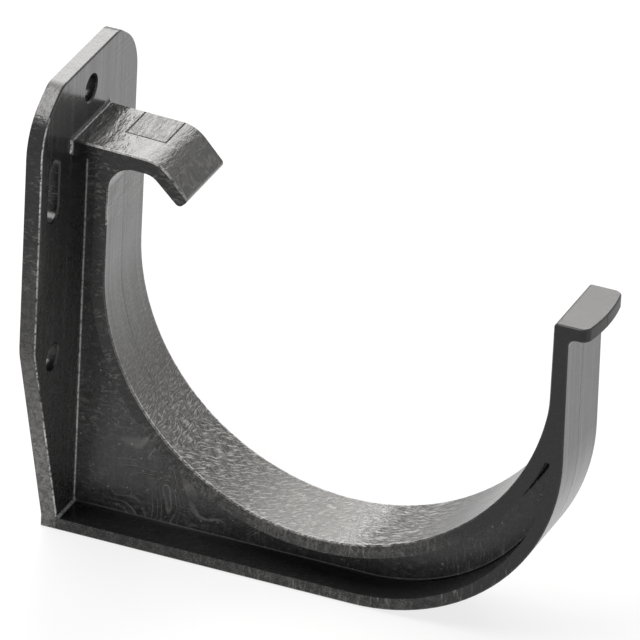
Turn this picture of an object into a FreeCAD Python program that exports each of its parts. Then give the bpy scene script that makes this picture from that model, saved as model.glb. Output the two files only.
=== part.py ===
import FreeCAD, Part
import math
import os
import Sketcher

from FreeCAD import Vector

# Gutter bracket, one moulded piece that holds a half-round gutter against a fascia board.
# Millimetres and degrees. X points out from the wall, Y runs along the gutter, Z is up.
# The origin lies on the wall face, in the middle of its bottom edge.

NODE = "gutter_bracket"

# Each driving size, written once
driving_sizes = {
    # wall plate
    "plate_thickness": 4.0,
    "plate_width": 54.6,
    "plate_rise": 16.4,         # plate above the arm's top
    "taper_height": 54.8,       # the plate narrows below this, to the band's width at the foot
    "taper_round": 10.0,
    "corner_run": 11.0,         # slanted top corner, sideways
    "corner_drop": 7.4,         # slanted top corner, downwards
    "shoulder_round": 14.0,
    "crown_round": 6.0,
    # ribbed section: a band, a web in its middle and a flange round the outside
    "band_width": 21.6,
    "band_thickness": 3.4,
    "web_thickness": 2.0,
    "flange_thickness": 3.1,
    # seat for the gutter
    "seat_width": 112.0,
    "seat_ease": 0.2,           # the seat's radius is this much over half its width
    "seat_back": 13.7,          # from the wall to the back of the seat
    "seat_floor": 15.2,         # lowest point of the seat above the foot
    # front upright and the curve that leads into it
    "front_height": 86.8,
    "front_thickness": 3.65,
    "front_lean": 0.9,
    "front_blend": 30.0,        # eases the seat into the straight upright
    "outer_radius": 50.3,
    # lip on the upright
    "lip_thickness": 3.5,
    "lip_reach": 5.85,          # past the upright's outer face, at mid width
    "lip_bow": 50.0,            # radius of the lip's front edge in plan
    "lip_corner": 2.2,
    "lip_root": 1.9,
    "lip_nose": 1.1,
    # arm over the gutter's back edge, and the hook at its end
    "arm_height": 104.1,
    "arm_thickness": 3.8,
    "arm_droop": 2.0,
    "arm_length": 22.9,         # from the wall to the start of the bend
    "arm_root": 1.0,
    "bend_radius": 4.6,
    "hook_angle": 47.0,
    "hook_reach": 34.0,         # from the wall to the hook's tip
    "hook_end": 3.35,           # the hook thins to this at its tip
    "hook_tip": 1.2,
    "seat_corner": 6.3,         # round between the seat's back and the arm
    # holes through the plate
    "hole_width": 6.5,
    "top_hole_rise": 8.4,       # above the arm's top
    "slot_width": 6.0,
    "slot_length": 16.0,
    "slot_drop": 9.45,          # below the arm's top
    "slot_edge": 7.7,           # from the plate's side to the slot's middle
    "low_hole_drop": 5.2,       # below the start of the taper
    "low_hole_edge": 10.4,      # from the plate's side to the lower hole's middle
    # rounds
    "recess_corner": 0.9,
    "recess_fillet": 0.5,
    "horn_round": 0.7,
    "outer_rim": 0.3,           # broken edge along the sides of the ribbed section and the arm
    "plate_edge": 0.5,
    "hole_edge": 0.4,           # broken edge of the holes and the slot
}

# Sizes that follow from the driving ones
derived_sizes = {
    "plate_height": "sizes.arm_height + sizes.plate_rise",
    "seat_radius": "sizes.seat_width / 2 + sizes.seat_ease",
    "seat_x": "sizes.seat_back + seat_radius",
    "seat_z": "sizes.seat_floor + seat_radius",
    "band_x": "sizes.seat_back - sizes.band_thickness",
    "band_radius": "seat_radius + sizes.band_thickness",
    "front_x": "sizes.seat_back + sizes.seat_width",
    "outer_x": "front_x + sizes.front_thickness",
    "lip_x": "outer_x + sizes.lip_reach",
    "lip_underside": "sizes.front_height - sizes.lip_thickness",
    "lean_cos": "cos(sizes.front_lean * 1deg)",
    "lean_sin": "sin(sizes.front_lean * 1deg)",
    "outer_centre_x": "(outer_x * lean_cos + sizes.front_height * lean_sin"
                      " - sizes.outer_radius * (1 + lean_sin)) / lean_cos",
    "flange_radius": "sizes.outer_radius - sizes.flange_thickness",
    "bend_outer_radius": "sizes.bend_radius + sizes.arm_thickness",
    "arm_underside": "sizes.arm_height - sizes.arm_thickness / cos(sizes.arm_droop * 1deg)",
    "top_hole_height": "sizes.arm_height + sizes.top_hole_rise",
    "slot_height": "sizes.arm_height - sizes.slot_drop",
    "slot_offset": "sizes.plate_width / 2 - sizes.slot_edge",
    "low_hole_height": "sizes.taper_height - sizes.low_hole_drop",
    "low_hole_offset": "sizes.plate_width / 2 - sizes.low_hole_edge",
}


def fill_sheet(document, label, cells, prefix=""):
    # one row for each size: its name, its value and the alias that other objects use
    sheet = document.addObject("Spreadsheet::Sheet", label)
    for row, (alias, value) in enumerate(cells.items(), start=1):
        sheet.set(f"A{row}", alias)
        sheet.set(f"B{row}", f"{prefix}{value}")
        sheet.setAlias(f"B{row}", alias)
    document.recompute()
    return sheet


def origin_plane(body, role):
    return next(item for item in body.Origin.OriginFeatures if item.Role == role)


def new_sketch(body, label, role):
    sketch = body.newObject("Sketcher::SketchObject", label)
    sketch.AttachmentSupport = [(origin_plane(body, role), "")]
    sketch.MapMode = "FlatFace"
    return sketch


def bind(sketch, constraint, name, formula):
    # adds a dimension to the sketch and ties it to the sheets
    index = sketch.addConstraint(constraint)
    sketch.renameConstraint(index, name)
    sketch.setExpression(f"Constraints.{name}", formula)


def relate(sketch, kind, *parts):
    sketch.addConstraint(Sketcher.Constraint(kind, *parts))


def line(sketch, start, end):
    return sketch.addGeometry(Part.LineSegment(Vector(*start, 0), Vector(*end, 0)), False)


def arc(sketch, centre, radius, start, end):
    # counter-clockwise from start to end, both points on the circle
    first = math.atan2(start[1] - centre[1], start[0] - centre[0])
    last = math.atan2(end[1] - centre[1], end[0] - centre[0])
    if last <= first:
        last += 2 * math.pi
    circle = Part.Circle(Vector(*centre, 0), Vector(0, 0, 1), radius)
    return sketch.addGeometry(Part.ArcOfCircle(circle, first, last), False)


def join(sketch, kind, *ends):
    # ends that meet, as first piece, its end, second piece, its end
    for pair in ends:
        relate(sketch, kind, *pair)


def step(point, direction, distance):
    return (point[0] + distance * direction[0], point[1] + distance * direction[1])


def slope(sketch, geometry, name, degrees, formula):
    # turn of a line away from the sketch's first axis
    angle = Sketcher.Constraint("Angle", ACROSS, START, geometry, START, math.radians(degrees))
    bind(sketch, angle, name, f"({formula}) * 1deg")


def place_x(sketch, geometry, point, name, value, formula):
    bind(sketch, Sketcher.Constraint("DistanceX", ORIGIN, POINT, geometry, point, value), name, formula)


def place_y(sketch, geometry, point, name, value, formula):
    bind(sketch, Sketcher.Constraint("DistanceY", ORIGIN, POINT, geometry, point, value), name, formula)


# Names for the solver's own numbers: ends of a line or arc, its centre, the sketch's origin and axes
START, END, CENTRE = 1, 2, 3
ORIGIN, POINT = -1, 1
ACROSS, UPRIGHT = -1, -2

document = FreeCAD.newDocument("gutter_bracket")
sizes = fill_sheet(document, "sizes", driving_sizes)
worked = fill_sheet(document, "worked", derived_sizes, "=")
body = document.addObject("PartDesign::Body", NODE)
body.Label = NODE


def checked(feature, grows):
    # a feature has to change the volume the way it is meant to
    before = checked.volume
    document.recompute()
    if "Invalid" in feature.State or "Error" in feature.State or feature.Shape.isNull():
        raise RuntimeError(f"{feature.Label} failed: {feature.State} {feature.getStatusString()}")
    after = feature.Shape.Volume
    if grows is True and after <= before:
        raise RuntimeError(f"{feature.Label} added nothing")
    if grows is False and after >= before:
        raise RuntimeError(f"{feature.Label} cut nothing")
    checked.volume = after
    print(f"{feature.Label}: {after:.1f} mm3")
    return feature


checked.volume = 0.0


def pad(label, sketch, length, symmetric=False):
    feature = body.newObject("PartDesign::Pad", label)
    feature.Profile = sketch
    feature.setExpression("Length", length)
    feature.Midplane = symmetric
    sketch.Visibility = False
    return checked(feature, True)


def pocket(label, sketch, towards_normal):
    feature = body.newObject("PartDesign::Pocket", label)
    feature.Profile = sketch
    feature.Type = "ThroughAll"
    feature.Reversed = towards_normal
    sketch.Visibility = False
    return checked(feature, False)


def mirror(label, feature, role):
    mirrored = body.newObject("PartDesign::Mirrored", label)
    mirrored.Originals = [feature]
    mirrored.MirrorPlane = (origin_plane(body, role), [""])
    body.Tip = mirrored
    return checked(mirrored, None)


def dress(kind, dimension, label, size, wanted):
    # works on the edges of the body that the test picks, by their middle point and direction
    base = body.Tip
    names = [f"Edge{number}" for number, edge in enumerate(base.Shape.Edges, start=1) if wanted(edge)]
    if not names:
        raise RuntimeError(f"{label} found no edge")
    feature = body.newObject(kind, label)
    feature.Base = (base, names)
    feature.setExpression(dimension, size)
    return checked(feature, None)


def fillet(label, radius, wanted):
    return dress("PartDesign::Fillet", "Radius", label, radius, wanted)


def chamfer(label, size, wanted):
    return dress("PartDesign::Chamfer", "Size", label, size, wanted)


def middle(edge):
    return edge.valueAt((edge.FirstParameter + edge.LastParameter) / 2)


def near(value, target, within=0.05):
    return abs(value - target) < within


def runs_along(edge, axis):
    ends = [vertex.Point for vertex in edge.Vertexes]
    if len(ends) < 2 or edge.Curve.TypeId != "Part::GeomLine":
        return False
    span = ends[1] - ends[0]
    return near(abs(span.normalize().dot(axis)), 1, 0.001)


ALONG_X, ALONG_Y, ALONG_Z = Vector(1, 0, 0), Vector(0, 1, 0), Vector(0, 0, 1)


# Wall plate, drawn on the wall: a shield that narrows to the width of the foot
def plate_outline():
    sketch = new_sketch(body, "plate_outline", "YZ_Plane")
    foot = sizes.band_width / 2
    side = sizes.plate_width / 2
    crown = side - sizes.corner_run
    shoulder = worked.plate_height - sizes.corner_drop
    right = [(foot, 0), (foot, sizes.flange_thickness), (side, sizes.taper_height), (side, shoulder),
             (crown, worked.plate_height)]
    points = right + [(-across, up) for across, up in reversed(right)]
    edges = [line(sketch, start, end) for start, end in zip(points, points[1:] + points[:1])]
    for edge, following in zip(edges, edges[1:] + edges[:1]):
        relate(sketch, "Coincident", edge, END, following, START)
    for edge, partner in zip(range(5), (8, 7, 6, 5, 4)):
        relate(sketch, "Symmetric", edge, START, partner, END, UPRIGHT)
    relate(sketch, "PointOnObject", 0, START, ACROSS)
    relate(sketch, "Vertical", 0)
    place_x(sketch, 0, START, "foot", foot, "sizes.band_width / 2")
    place_y(sketch, 1, START, "flange", sizes.flange_thickness, "sizes.flange_thickness")
    place_x(sketch, 2, START, "side", side, "sizes.plate_width / 2")
    place_y(sketch, 2, START, "taper", sizes.taper_height, "sizes.taper_height")
    relate(sketch, "Vertical", 2)
    place_y(sketch, 3, START, "shoulder", shoulder, "worked.plate_height - sizes.corner_drop")
    place_x(sketch, 4, START, "crown", crown, "sizes.plate_width / 2 - sizes.corner_run")
    place_y(sketch, 4, START, "top", worked.plate_height, "worked.plate_height")
    return sketch


# Side view of the arm, which hooks down over the gutter's back edge
def arm_profile():
    sketch = new_sketch(body, "arm_profile", "XZ_Plane")
    wall = sizes.plate_thickness
    droop = math.radians(sizes.arm_droop)
    fall = math.radians(sizes.hook_angle)
    arm_up = (math.sin(droop), math.cos(droop))
    hook_up = (math.sin(fall), math.cos(fall))
    bend_start = (sizes.arm_length, sizes.arm_height - (sizes.arm_length - wall) * math.tan(droop))
    bend = step(bend_start, arm_up, -worked.bend_outer_radius)
    bend_end = step(bend, hook_up, worked.bend_outer_radius)
    tip = (sizes.hook_reach, bend_end[1] - (sizes.hook_reach - bend_end[0]) * math.tan(fall))
    tip_under = step(tip, hook_up, -sizes.hook_end)
    inner_start = step(bend, arm_up, sizes.bend_radius)
    inner_end = step(bend, hook_up, sizes.bend_radius)

    under_line = line(sketch, (wall, worked.arm_underside), inner_start)
    inner_bend = arc(sketch, bend, sizes.bend_radius, inner_end, inner_start)
    hook_under = line(sketch, inner_end, tip_under)
    tip_line = line(sketch, tip_under, tip)
    hook_top = line(sketch, tip, bend_end)
    outer_bend = arc(sketch, bend, worked.bend_outer_radius, bend_end, bend_start)
    arm_top = line(sketch, bend_start, (wall, sizes.arm_height))
    wall_line = line(sketch, (wall, sizes.arm_height), (wall, worked.arm_underside))

    join(sketch, "Tangent", (under_line, END, inner_bend, END), (inner_bend, START, hook_under, START),
         (hook_top, END, outer_bend, START), (outer_bend, END, arm_top, START))
    join(sketch, "Coincident", (hook_under, END, tip_line, START), (tip_line, END, hook_top, START),
         (arm_top, END, wall_line, START), (wall_line, END, under_line, START))
    relate(sketch, "Vertical", wall_line)
    relate(sketch, "Perpendicular", tip_line, hook_top)
    relate(sketch, "Coincident", inner_bend, CENTRE, outer_bend, CENTRE)
    relate(sketch, "Parallel", under_line, arm_top)
    place_x(sketch, arm_top, END, "wall", wall, "sizes.plate_thickness")
    place_y(sketch, arm_top, END, "arm", sizes.arm_height, "sizes.arm_height")
    place_x(sketch, arm_top, START, "arm_length", bend_start[0], "sizes.arm_length")
    place_x(sketch, tip_line, END, "hook_reach", tip[0], "sizes.hook_reach")
    bind(sketch, Sketcher.Constraint("Radius", inner_bend, sizes.bend_radius), "bend_radius",
         "sizes.bend_radius")
    bind(sketch, Sketcher.Constraint("Radius", outer_bend, worked.bend_outer_radius), "bend_outer",
         "worked.bend_outer_radius")
    bind(sketch, Sketcher.Constraint("Distance", tip_line, sizes.hook_end), "hook_end", "sizes.hook_end")
    slope(sketch, arm_top, "droop", 180 - sizes.arm_droop, "180 - sizes.arm_droop")
    slope(sketch, hook_top, "hook_angle", 180 - sizes.hook_angle, "180 - sizes.hook_angle")
    return sketch


# Side view of the seat and the front upright, filled in from the arm down to the foot
def seat_profile():
    sketch = new_sketch(body, "seat_profile", "XZ_Plane")
    wall = sizes.plate_thickness
    outer = (worked.outer_centre_x, sizes.outer_radius)
    outer_end = step(outer, (worked.lean_cos, worked.lean_sin), sizes.outer_radius)
    seat = (worked.seat_x, worked.seat_z)
    # the blend touches the seat's circle from inside and the upright's inner line
    reach = worked.seat_radius - sizes.front_blend
    ahead = worked.front_x - sizes.front_blend - seat[0]
    to_blend = (ahead / reach, -math.sqrt(reach ** 2 - ahead ** 2) / reach)
    blend = step(seat, to_blend, reach)
    blend_end = (worked.front_x, blend[1])
    seat_end = step(seat, to_blend, worked.seat_radius)
    droop = math.radians(sizes.arm_droop)
    arm_up = (math.sin(droop), math.cos(droop))
    corner_x = sizes.seat_back + sizes.seat_corner
    roof_at_corner = worked.arm_underside - (corner_x - wall) * math.tan(droop)
    corner = (corner_x, roof_at_corner - sizes.seat_corner / arm_up[1])
    corner_end = step(corner, arm_up, sizes.seat_corner)

    foot_line = line(sketch, (wall, 0), (outer[0], 0))
    outer_arc = arc(sketch, outer, sizes.outer_radius, (outer[0], 0), outer_end)
    face_line = line(sketch, outer_end, (worked.outer_x, sizes.front_height))
    top_line = line(sketch, (worked.outer_x, sizes.front_height), (worked.front_x, sizes.front_height))
    inner_line = line(sketch, (worked.front_x, sizes.front_height), blend_end)
    blend_arc = arc(sketch, blend, sizes.front_blend, seat_end, blend_end)
    seat_arc = arc(sketch, seat, worked.seat_radius, (sizes.seat_back, seat[1]), seat_end)
    back_line = line(sketch, (sizes.seat_back, seat[1]), (sizes.seat_back, corner[1]))
    corner_arc = arc(sketch, corner, sizes.seat_corner, corner_end, (sizes.seat_back, corner[1]))
    roof_line = line(sketch, corner_end, (wall, worked.arm_underside))
    wall_line = line(sketch, (wall, worked.arm_underside), (wall, 0))

    join(sketch, "Tangent", (foot_line, END, outer_arc, START), (outer_arc, END, face_line, START),
         (inner_line, END, blend_arc, END), (blend_arc, START, seat_arc, END),
         (seat_arc, START, back_line, START), (back_line, END, corner_arc, END))
    join(sketch, "Coincident", (face_line, END, top_line, START), (top_line, END, inner_line, START),
         (corner_arc, START, roof_line, START), (roof_line, END, wall_line, START),
         (wall_line, END, foot_line, START))
    relate(sketch, "PointOnObject", foot_line, START, ACROSS)
    for level in (foot_line, top_line):
        relate(sketch, "Horizontal", level)
    for upright in (inner_line, back_line, wall_line):
        relate(sketch, "Vertical", upright)
    place_x(sketch, foot_line, START, "wall", wall, "sizes.plate_thickness")
    place_y(sketch, wall_line, START, "roof", worked.arm_underside, "worked.arm_underside")
    place_x(sketch, back_line, START, "seat_back", sizes.seat_back, "sizes.seat_back")
    place_y(sketch, seat_arc, CENTRE, "seat_height", seat[1], "worked.seat_z")
    place_x(sketch, corner_arc, START, "corner_end", corner_end[0],
            "sizes.seat_back + sizes.seat_corner * (1 + sin(sizes.arm_droop * 1deg))")
    place_x(sketch, top_line, END, "front", worked.front_x, "worked.front_x")
    place_y(sketch, top_line, END, "front_height", sizes.front_height, "sizes.front_height")
    place_x(sketch, top_line, START, "outer", worked.outer_x, "worked.outer_x")
    for name, curve, value, formula in (
            ("outer_radius", outer_arc, sizes.outer_radius, "sizes.outer_radius"),
            ("seat_radius", seat_arc, worked.seat_radius, "worked.seat_radius"),
            ("front_blend", blend_arc, sizes.front_blend, "sizes.front_blend"),
            ("corner_radius", corner_arc, sizes.seat_corner, "sizes.seat_corner")):
        bind(sketch, Sketcher.Constraint("Radius", curve, value), name, formula)
    slope(sketch, roof_line, "droop", 180 - sizes.arm_droop, "180 - sizes.arm_droop")
    slope(sketch, face_line, "lean", 90 + sizes.front_lean, "90 + sizes.front_lean")
    return sketch


# The recess on one side of the web, which runs out to a pointed horn in the upright
def recess_outline():
    sketch = new_sketch(body, "recess_outline", "XZ_Plane")
    sketch.setExpression("AttachmentOffset.Base.z", "sizes.web_thickness / 2")
    wall = sizes.plate_thickness
    floor = sizes.flange_thickness
    outer = (worked.outer_centre_x, sizes.outer_radius)
    seat = (worked.seat_x, worked.seat_z)
    roof = worked.arm_underside
    band_top = roof - (worked.band_x - wall) * math.tan(math.radians(sizes.arm_droop))
    horn = circles_meet(outer, worked.flange_radius, seat, worked.band_radius)

    floor_line = line(sketch, (wall, floor), (outer[0], floor))
    flange_arc = arc(sketch, outer, worked.flange_radius, (outer[0], floor), horn)
    band_arc = arc(sketch, seat, worked.band_radius, (worked.band_x, seat[1]), horn)
    band_line = line(sketch, (worked.band_x, seat[1]), (worked.band_x, band_top))
    roof_line = line(sketch, (worked.band_x, band_top), (wall, roof))
    wall_line = line(sketch, (wall, roof), (wall, floor))

    relate(sketch, "Tangent", floor_line, END, flange_arc, START)
    relate(sketch, "Tangent", band_arc, START, band_line, START)
    relate(sketch, "Coincident", flange_arc, END, band_arc, END)
    relate(sketch, "Coincident", band_line, END, roof_line, START)
    relate(sketch, "Coincident", roof_line, END, wall_line, START)
    relate(sketch, "Coincident", wall_line, END, floor_line, START)
    relate(sketch, "Horizontal", floor_line)
    relate(sketch, "Vertical", band_line)
    relate(sketch, "Vertical", wall_line)
    place_x(sketch, floor_line, START, "wall", wall, "sizes.plate_thickness")
    place_y(sketch, floor_line, START, "floor", floor, "sizes.flange_thickness")
    place_x(sketch, flange_arc, CENTRE, "outer_centre", outer[0], "worked.outer_centre_x")
    place_x(sketch, band_line, START, "band", worked.band_x, "worked.band_x")
    place_y(sketch, band_arc, CENTRE, "seat_height", seat[1], "worked.seat_z")
    place_y(sketch, wall_line, START, "roof", roof, "worked.arm_underside")
    bind(sketch, Sketcher.Constraint("Radius", flange_arc, worked.flange_radius), "flange_radius",
         "worked.flange_radius")
    bind(sketch, Sketcher.Constraint("Radius", band_arc, worked.band_radius), "band_radius",
         "worked.band_radius")
    slope(sketch, roof_line, "droop", 180 - sizes.arm_droop, "180 - sizes.arm_droop")
    return sketch


def circles_meet(first, first_radius, second, second_radius):
    # the meeting point of two circles that lies farther out from the wall
    gap = math.hypot(second[0] - first[0], second[1] - first[1])
    along = (first_radius ** 2 - second_radius ** 2 + gap ** 2) / (2 * gap)
    aside = math.sqrt(first_radius ** 2 - along ** 2)
    ahead = ((second[0] - first[0]) / gap, (second[1] - first[1]) / gap)
    foot = (first[0] + along * ahead[0], first[1] + along * ahead[1])
    choices = [(foot[0] + turn * aside * ahead[1], foot[1] - turn * aside * ahead[0]) for turn in (1, -1)]
    return max(choices)


# Lip in plan: square at the back, bowed at the front
def lip_outline():
    sketch = new_sketch(body, "lip_outline", "XY_Plane")
    sketch.setExpression("AttachmentOffset.Base.z", "worked.lip_underside")
    half = sizes.band_width / 2
    bow_centre = (worked.lip_x - sizes.lip_bow, 0)
    shoulder = bow_centre[0] + math.sqrt(sizes.lip_bow ** 2 - half ** 2)
    near_line = line(sketch, (worked.front_x, -half), (shoulder, -half))
    bow_arc = arc(sketch, bow_centre, sizes.lip_bow, (shoulder, -half), (shoulder, half))
    far_line = line(sketch, (shoulder, half), (worked.front_x, half))
    back_line = line(sketch, (worked.front_x, half), (worked.front_x, -half))
    relate(sketch, "Coincident", near_line, END, bow_arc, START)
    relate(sketch, "Coincident", bow_arc, END, far_line, START)
    relate(sketch, "Coincident", far_line, END, back_line, START)
    relate(sketch, "Coincident", back_line, END, near_line, START)
    relate(sketch, "Symmetric", near_line, START, far_line, END, ACROSS)
    relate(sketch, "PointOnObject", bow_arc, CENTRE, ACROSS)
    relate(sketch, "Horizontal", near_line)
    relate(sketch, "Horizontal", far_line)
    place_x(sketch, near_line, START, "front", worked.front_x, "worked.front_x")
    place_y(sketch, far_line, END, "half_width", half, "sizes.band_width / 2")
    place_x(sketch, bow_arc, CENTRE, "bow_centre", bow_centre[0], "worked.lip_x - sizes.lip_bow")
    bind(sketch, Sketcher.Constraint("Radius", bow_arc, sizes.lip_bow), "bow_radius", "sizes.lip_bow")
    return sketch


# Screw holes: one over the arm and one low down on each side
def hole_outline():
    sketch = new_sketch(body, "hole_outline", "YZ_Plane")
    places = [("top", 0.0, worked.top_hole_height, "0", "worked.top_hole_height")]
    for name, side in (("left", -1), ("right", 1)):
        places.append((name, side * worked.low_hole_offset, worked.low_hole_height,
                       f"{side} * worked.low_hole_offset", "worked.low_hole_height"))
    for name, across, up, across_formula, up_formula in places:
        ring = sketch.addGeometry(Part.Circle(Vector(across, up, 0), Vector(0, 0, 1), sizes.hole_width / 2), False)
        if across:
            place_x(sketch, ring, CENTRE, f"{name}_across", across, across_formula)
        else:
            relate(sketch, "PointOnObject", ring, CENTRE, UPRIGHT)
        place_y(sketch, ring, CENTRE, f"{name}_up", up, up_formula)
        bind(sketch, Sketcher.Constraint("Diameter", ring, sizes.hole_width), f"{name}_width", "sizes.hole_width")
    return sketch


# An upright slot on the near side only
def slot_outline():
    sketch = new_sketch(body, "slot_outline", "YZ_Plane")
    half = sizes.slot_width / 2
    reach = (sizes.slot_length - sizes.slot_width) / 2
    across = -worked.slot_offset
    low, high = worked.slot_height - reach, worked.slot_height + reach
    right_line = line(sketch, (across + half, low), (across + half, high))
    top_arc = arc(sketch, (across, high), half, (across + half, high), (across - half, high))
    left_line = line(sketch, (across - half, high), (across - half, low))
    low_arc = arc(sketch, (across, low), half, (across - half, low), (across + half, low))
    for first, second in ((right_line, top_arc), (top_arc, left_line), (left_line, low_arc), (low_arc, right_line)):
        relate(sketch, "Tangent", first, END, second, START)
    relate(sketch, "Vertical", right_line)
    place_x(sketch, top_arc, CENTRE, "across", across, "-worked.slot_offset")
    place_y(sketch, top_arc, CENTRE, "high", high,
            "worked.slot_height + (sizes.slot_length - sizes.slot_width) / 2")
    place_y(sketch, low_arc, CENTRE, "low", low,
            "worked.slot_height - (sizes.slot_length - sizes.slot_width) / 2")
    bind(sketch, Sketcher.Constraint("Radius", top_arc, half), "half_width", "sizes.slot_width / 2")
    return sketch


def recess_depth(edge):
    # an edge that runs from the rim of a recess down to the web
    half_web = sizes.web_thickness / 2
    return (runs_along(edge, ALONG_Y) and near(edge.Length, half_band - half_web)
            and near(abs(middle(edge).y), (half_band + half_web) / 2))


def on_side(edge):
    # an edge that lies flat in the near or far side of the band
    return near(abs(middle(edge).y), half_band) and near(edge.BoundBox.YLength, 0)


def on_hole_edge(edge):
    # the front edge of a round hole or of the slot
    if not near(middle(edge).x, sizes.plate_thickness, 0.01) or not near(edge.BoundBox.XLength, 0):
        return False
    holes = [(0, worked.top_hole_height, sizes.hole_width / 2, 0)]
    holes += [(side * worked.low_hole_offset, worked.low_hole_height, sizes.hole_width / 2, 0) for side in (-1, 1)]
    holes.append((-worked.slot_offset, worked.slot_height, sizes.slot_width / 2,
                  (sizes.slot_length - sizes.slot_width) / 2))
    for across, up, radius, reach in holes:
        past_middle = max(abs(middle(edge).z - up) - reach, 0)
        if near(math.hypot(middle(edge).y - across, past_middle), radius):
            return True
    return False


def in_recess(point):
    # inside the recess's outline or on it
    from_seat = math.hypot(point.x - worked.seat_x, point.z - worked.seat_z)
    from_flange = math.hypot(point.x - worked.outer_centre_x, point.z - sizes.outer_radius)
    behind_band = point.x < worked.band_x + 0.1 or (from_seat > worked.band_radius - 0.1 and point.z < worked.seat_z)
    inside_flange = point.x < worked.outer_centre_x or from_flange < worked.flange_radius + 0.1
    return behind_band and inside_flange and sizes.flange_thickness - 0.1 < point.z < worked.arm_underside + 0.1


half_band = sizes.band_width / 2
half_plate = sizes.plate_width / 2

plate = pad("plate", plate_outline(), "sizes.plate_thickness")
shoulder_z = worked.plate_height - sizes.corner_drop
crown_y = half_plate - sizes.corner_run
fillet("shoulder_rounds", "sizes.shoulder_round",
       lambda edge: runs_along(edge, ALONG_X) and near(middle(edge).z, shoulder_z)
       and near(abs(middle(edge).y), half_plate))
fillet("crown_rounds", "sizes.crown_round",
       lambda edge: runs_along(edge, ALONG_X) and near(middle(edge).z, worked.plate_height)
       and near(abs(middle(edge).y), crown_y))
fillet("taper_rounds", "sizes.taper_round",
       lambda edge: runs_along(edge, ALONG_X) and near(middle(edge).z, sizes.taper_height)
       and near(abs(middle(edge).y), half_plate))
fillet("plate_edges", "sizes.plate_edge",
       lambda edge: near(middle(edge).x, sizes.plate_thickness)
       and near(edge.BoundBox.XLength, 0) and middle(edge).z > sizes.flange_thickness)

pad("arm", arm_profile(), "sizes.band_width", symmetric=True)
fillet("arm_root", "sizes.arm_root",
       lambda edge: near(middle(edge).x, sizes.plate_thickness) and near(edge.BoundBox.XLength, 0)
       and abs(middle(edge).y) < half_band + 0.1
       and worked.arm_underside - 0.1 < middle(edge).z < sizes.arm_height + 0.1)
pad("seat", seat_profile(), "sizes.band_width", symmetric=True)
# The recess's upright corners are rounded before its floor
recess = pocket("recess", recess_outline(), True)
mirror("far_recess", recess, "XZ_Plane")
fillet("horn_rounds", "sizes.horn_round",
       lambda edge: recess_depth(edge) and middle(edge).x > worked.seat_x
       and sizes.flange_thickness < middle(edge).z < worked.seat_z)
fillet("recess_corners", "sizes.recess_corner",
       lambda edge: recess_depth(edge) and middle(edge).x < worked.band_x + 0.1)
fillet("recess_floor", "sizes.recess_fillet",
       lambda edge: near(abs(middle(edge).y), sizes.web_thickness / 2) and near(edge.BoundBox.YLength, 0))

pad("lip", lip_outline(), "sizes.lip_thickness")
fillet("lip_corners", "sizes.lip_corner",
       lambda edge: runs_along(edge, ALONG_Z) and near(edge.Length, sizes.lip_thickness)
       and middle(edge).x > worked.outer_x + 1)
fillet("lip_root", "sizes.lip_root",
       lambda edge: runs_along(edge, ALONG_Y) and near(middle(edge).z, worked.lip_underside)
       and near(middle(edge).x, worked.outer_x, 0.3))
fillet("lip_nose", "sizes.lip_nose",
       lambda edge: runs_along(edge, ALONG_Y) and near(middle(edge).z, sizes.front_height)
       and near(middle(edge).x, worked.front_x))
fillet("hook_tip", "sizes.hook_tip",
       lambda edge: runs_along(edge, ALONG_Y) and middle(edge).z > worked.seat_z
       and sizes.hook_reach - sizes.arm_thickness < middle(edge).x < sizes.hook_reach + 0.1)
chamfer("outer_rims", "sizes.outer_rim",
        lambda edge: on_side(edge) and not in_recess(middle(edge))
        and middle(edge).x > sizes.plate_thickness + sizes.arm_root + 0.1
        and not (runs_along(edge, ALONG_Z) and middle(edge).x > worked.outer_x + 0.1))
pocket("round_holes", hole_outline(), True)
pocket("slot", slot_outline(), True)
chamfer("hole_edges", "sizes.hole_edge", on_hole_edge)

document.recompute()
for item in document.Objects:
    if "Invalid" in item.State or "Error" in item.State:
        raise RuntimeError(f"{item.Label} is in error: {item.State}")
if body.Shape.isNull() or not body.Shape.isValid():
    raise RuntimeError("the bracket's shape isn't valid")
os.makedirs("parts", exist_ok=True)
body.Shape.exportStep(f"parts/{body.Label}.step")
print(f"volume {body.Shape.Volume / 1000:.2f} cm3, box {body.Shape.BoundBox}")
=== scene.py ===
import bpy
import math
from mathutils import Matrix, Vector

# Gutter bracket in black moulded plastic: one piece, on a plain pale floor.
# Metres throughout. X points out from the wall, Y runs along the gutter, Z is up.

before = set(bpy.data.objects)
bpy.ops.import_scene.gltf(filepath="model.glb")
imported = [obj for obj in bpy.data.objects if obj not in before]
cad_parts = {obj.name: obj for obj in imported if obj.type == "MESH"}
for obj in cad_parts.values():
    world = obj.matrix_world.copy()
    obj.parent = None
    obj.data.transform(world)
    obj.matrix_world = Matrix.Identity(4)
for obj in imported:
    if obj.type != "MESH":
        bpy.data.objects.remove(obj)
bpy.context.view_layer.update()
print("stage: frame loaded")

# where parts of the bracket lie, for the masks of its plastic
bracketShape = {
    "seatCentre": (0.0699, 0.0714),     # X and Z of the seat's axis
    "seatRadius": 0.0562,
    "halfWidth": 0.0108,                # of the ribbed section and the arm
    "plateFront": 0.004,
    "armTop": 0.1041,
    "hookFront": 0.055,                 # the arm and its hook lie behind this X
    "lip": (0.1255, 0.0832),            # the lip lies beyond this X and Z
    "webHalf": 0.0012,                  # the web lies within this of the middle
}

# how squarely a spot faces a way, as the normal's part along it: a limit, or a pair from none to full
facing = {
    "sideways": 0.8,
    "skinward": 0.5,                    # at most this much sideways
    "outward": (0.6, 0.95),
    "straightOut": (0.85, 0.97),
    "upward": (0.6, 0.9),
    "outAndUp": (0.6, 0.8),             # of the parts along X and Z added up
}


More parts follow.
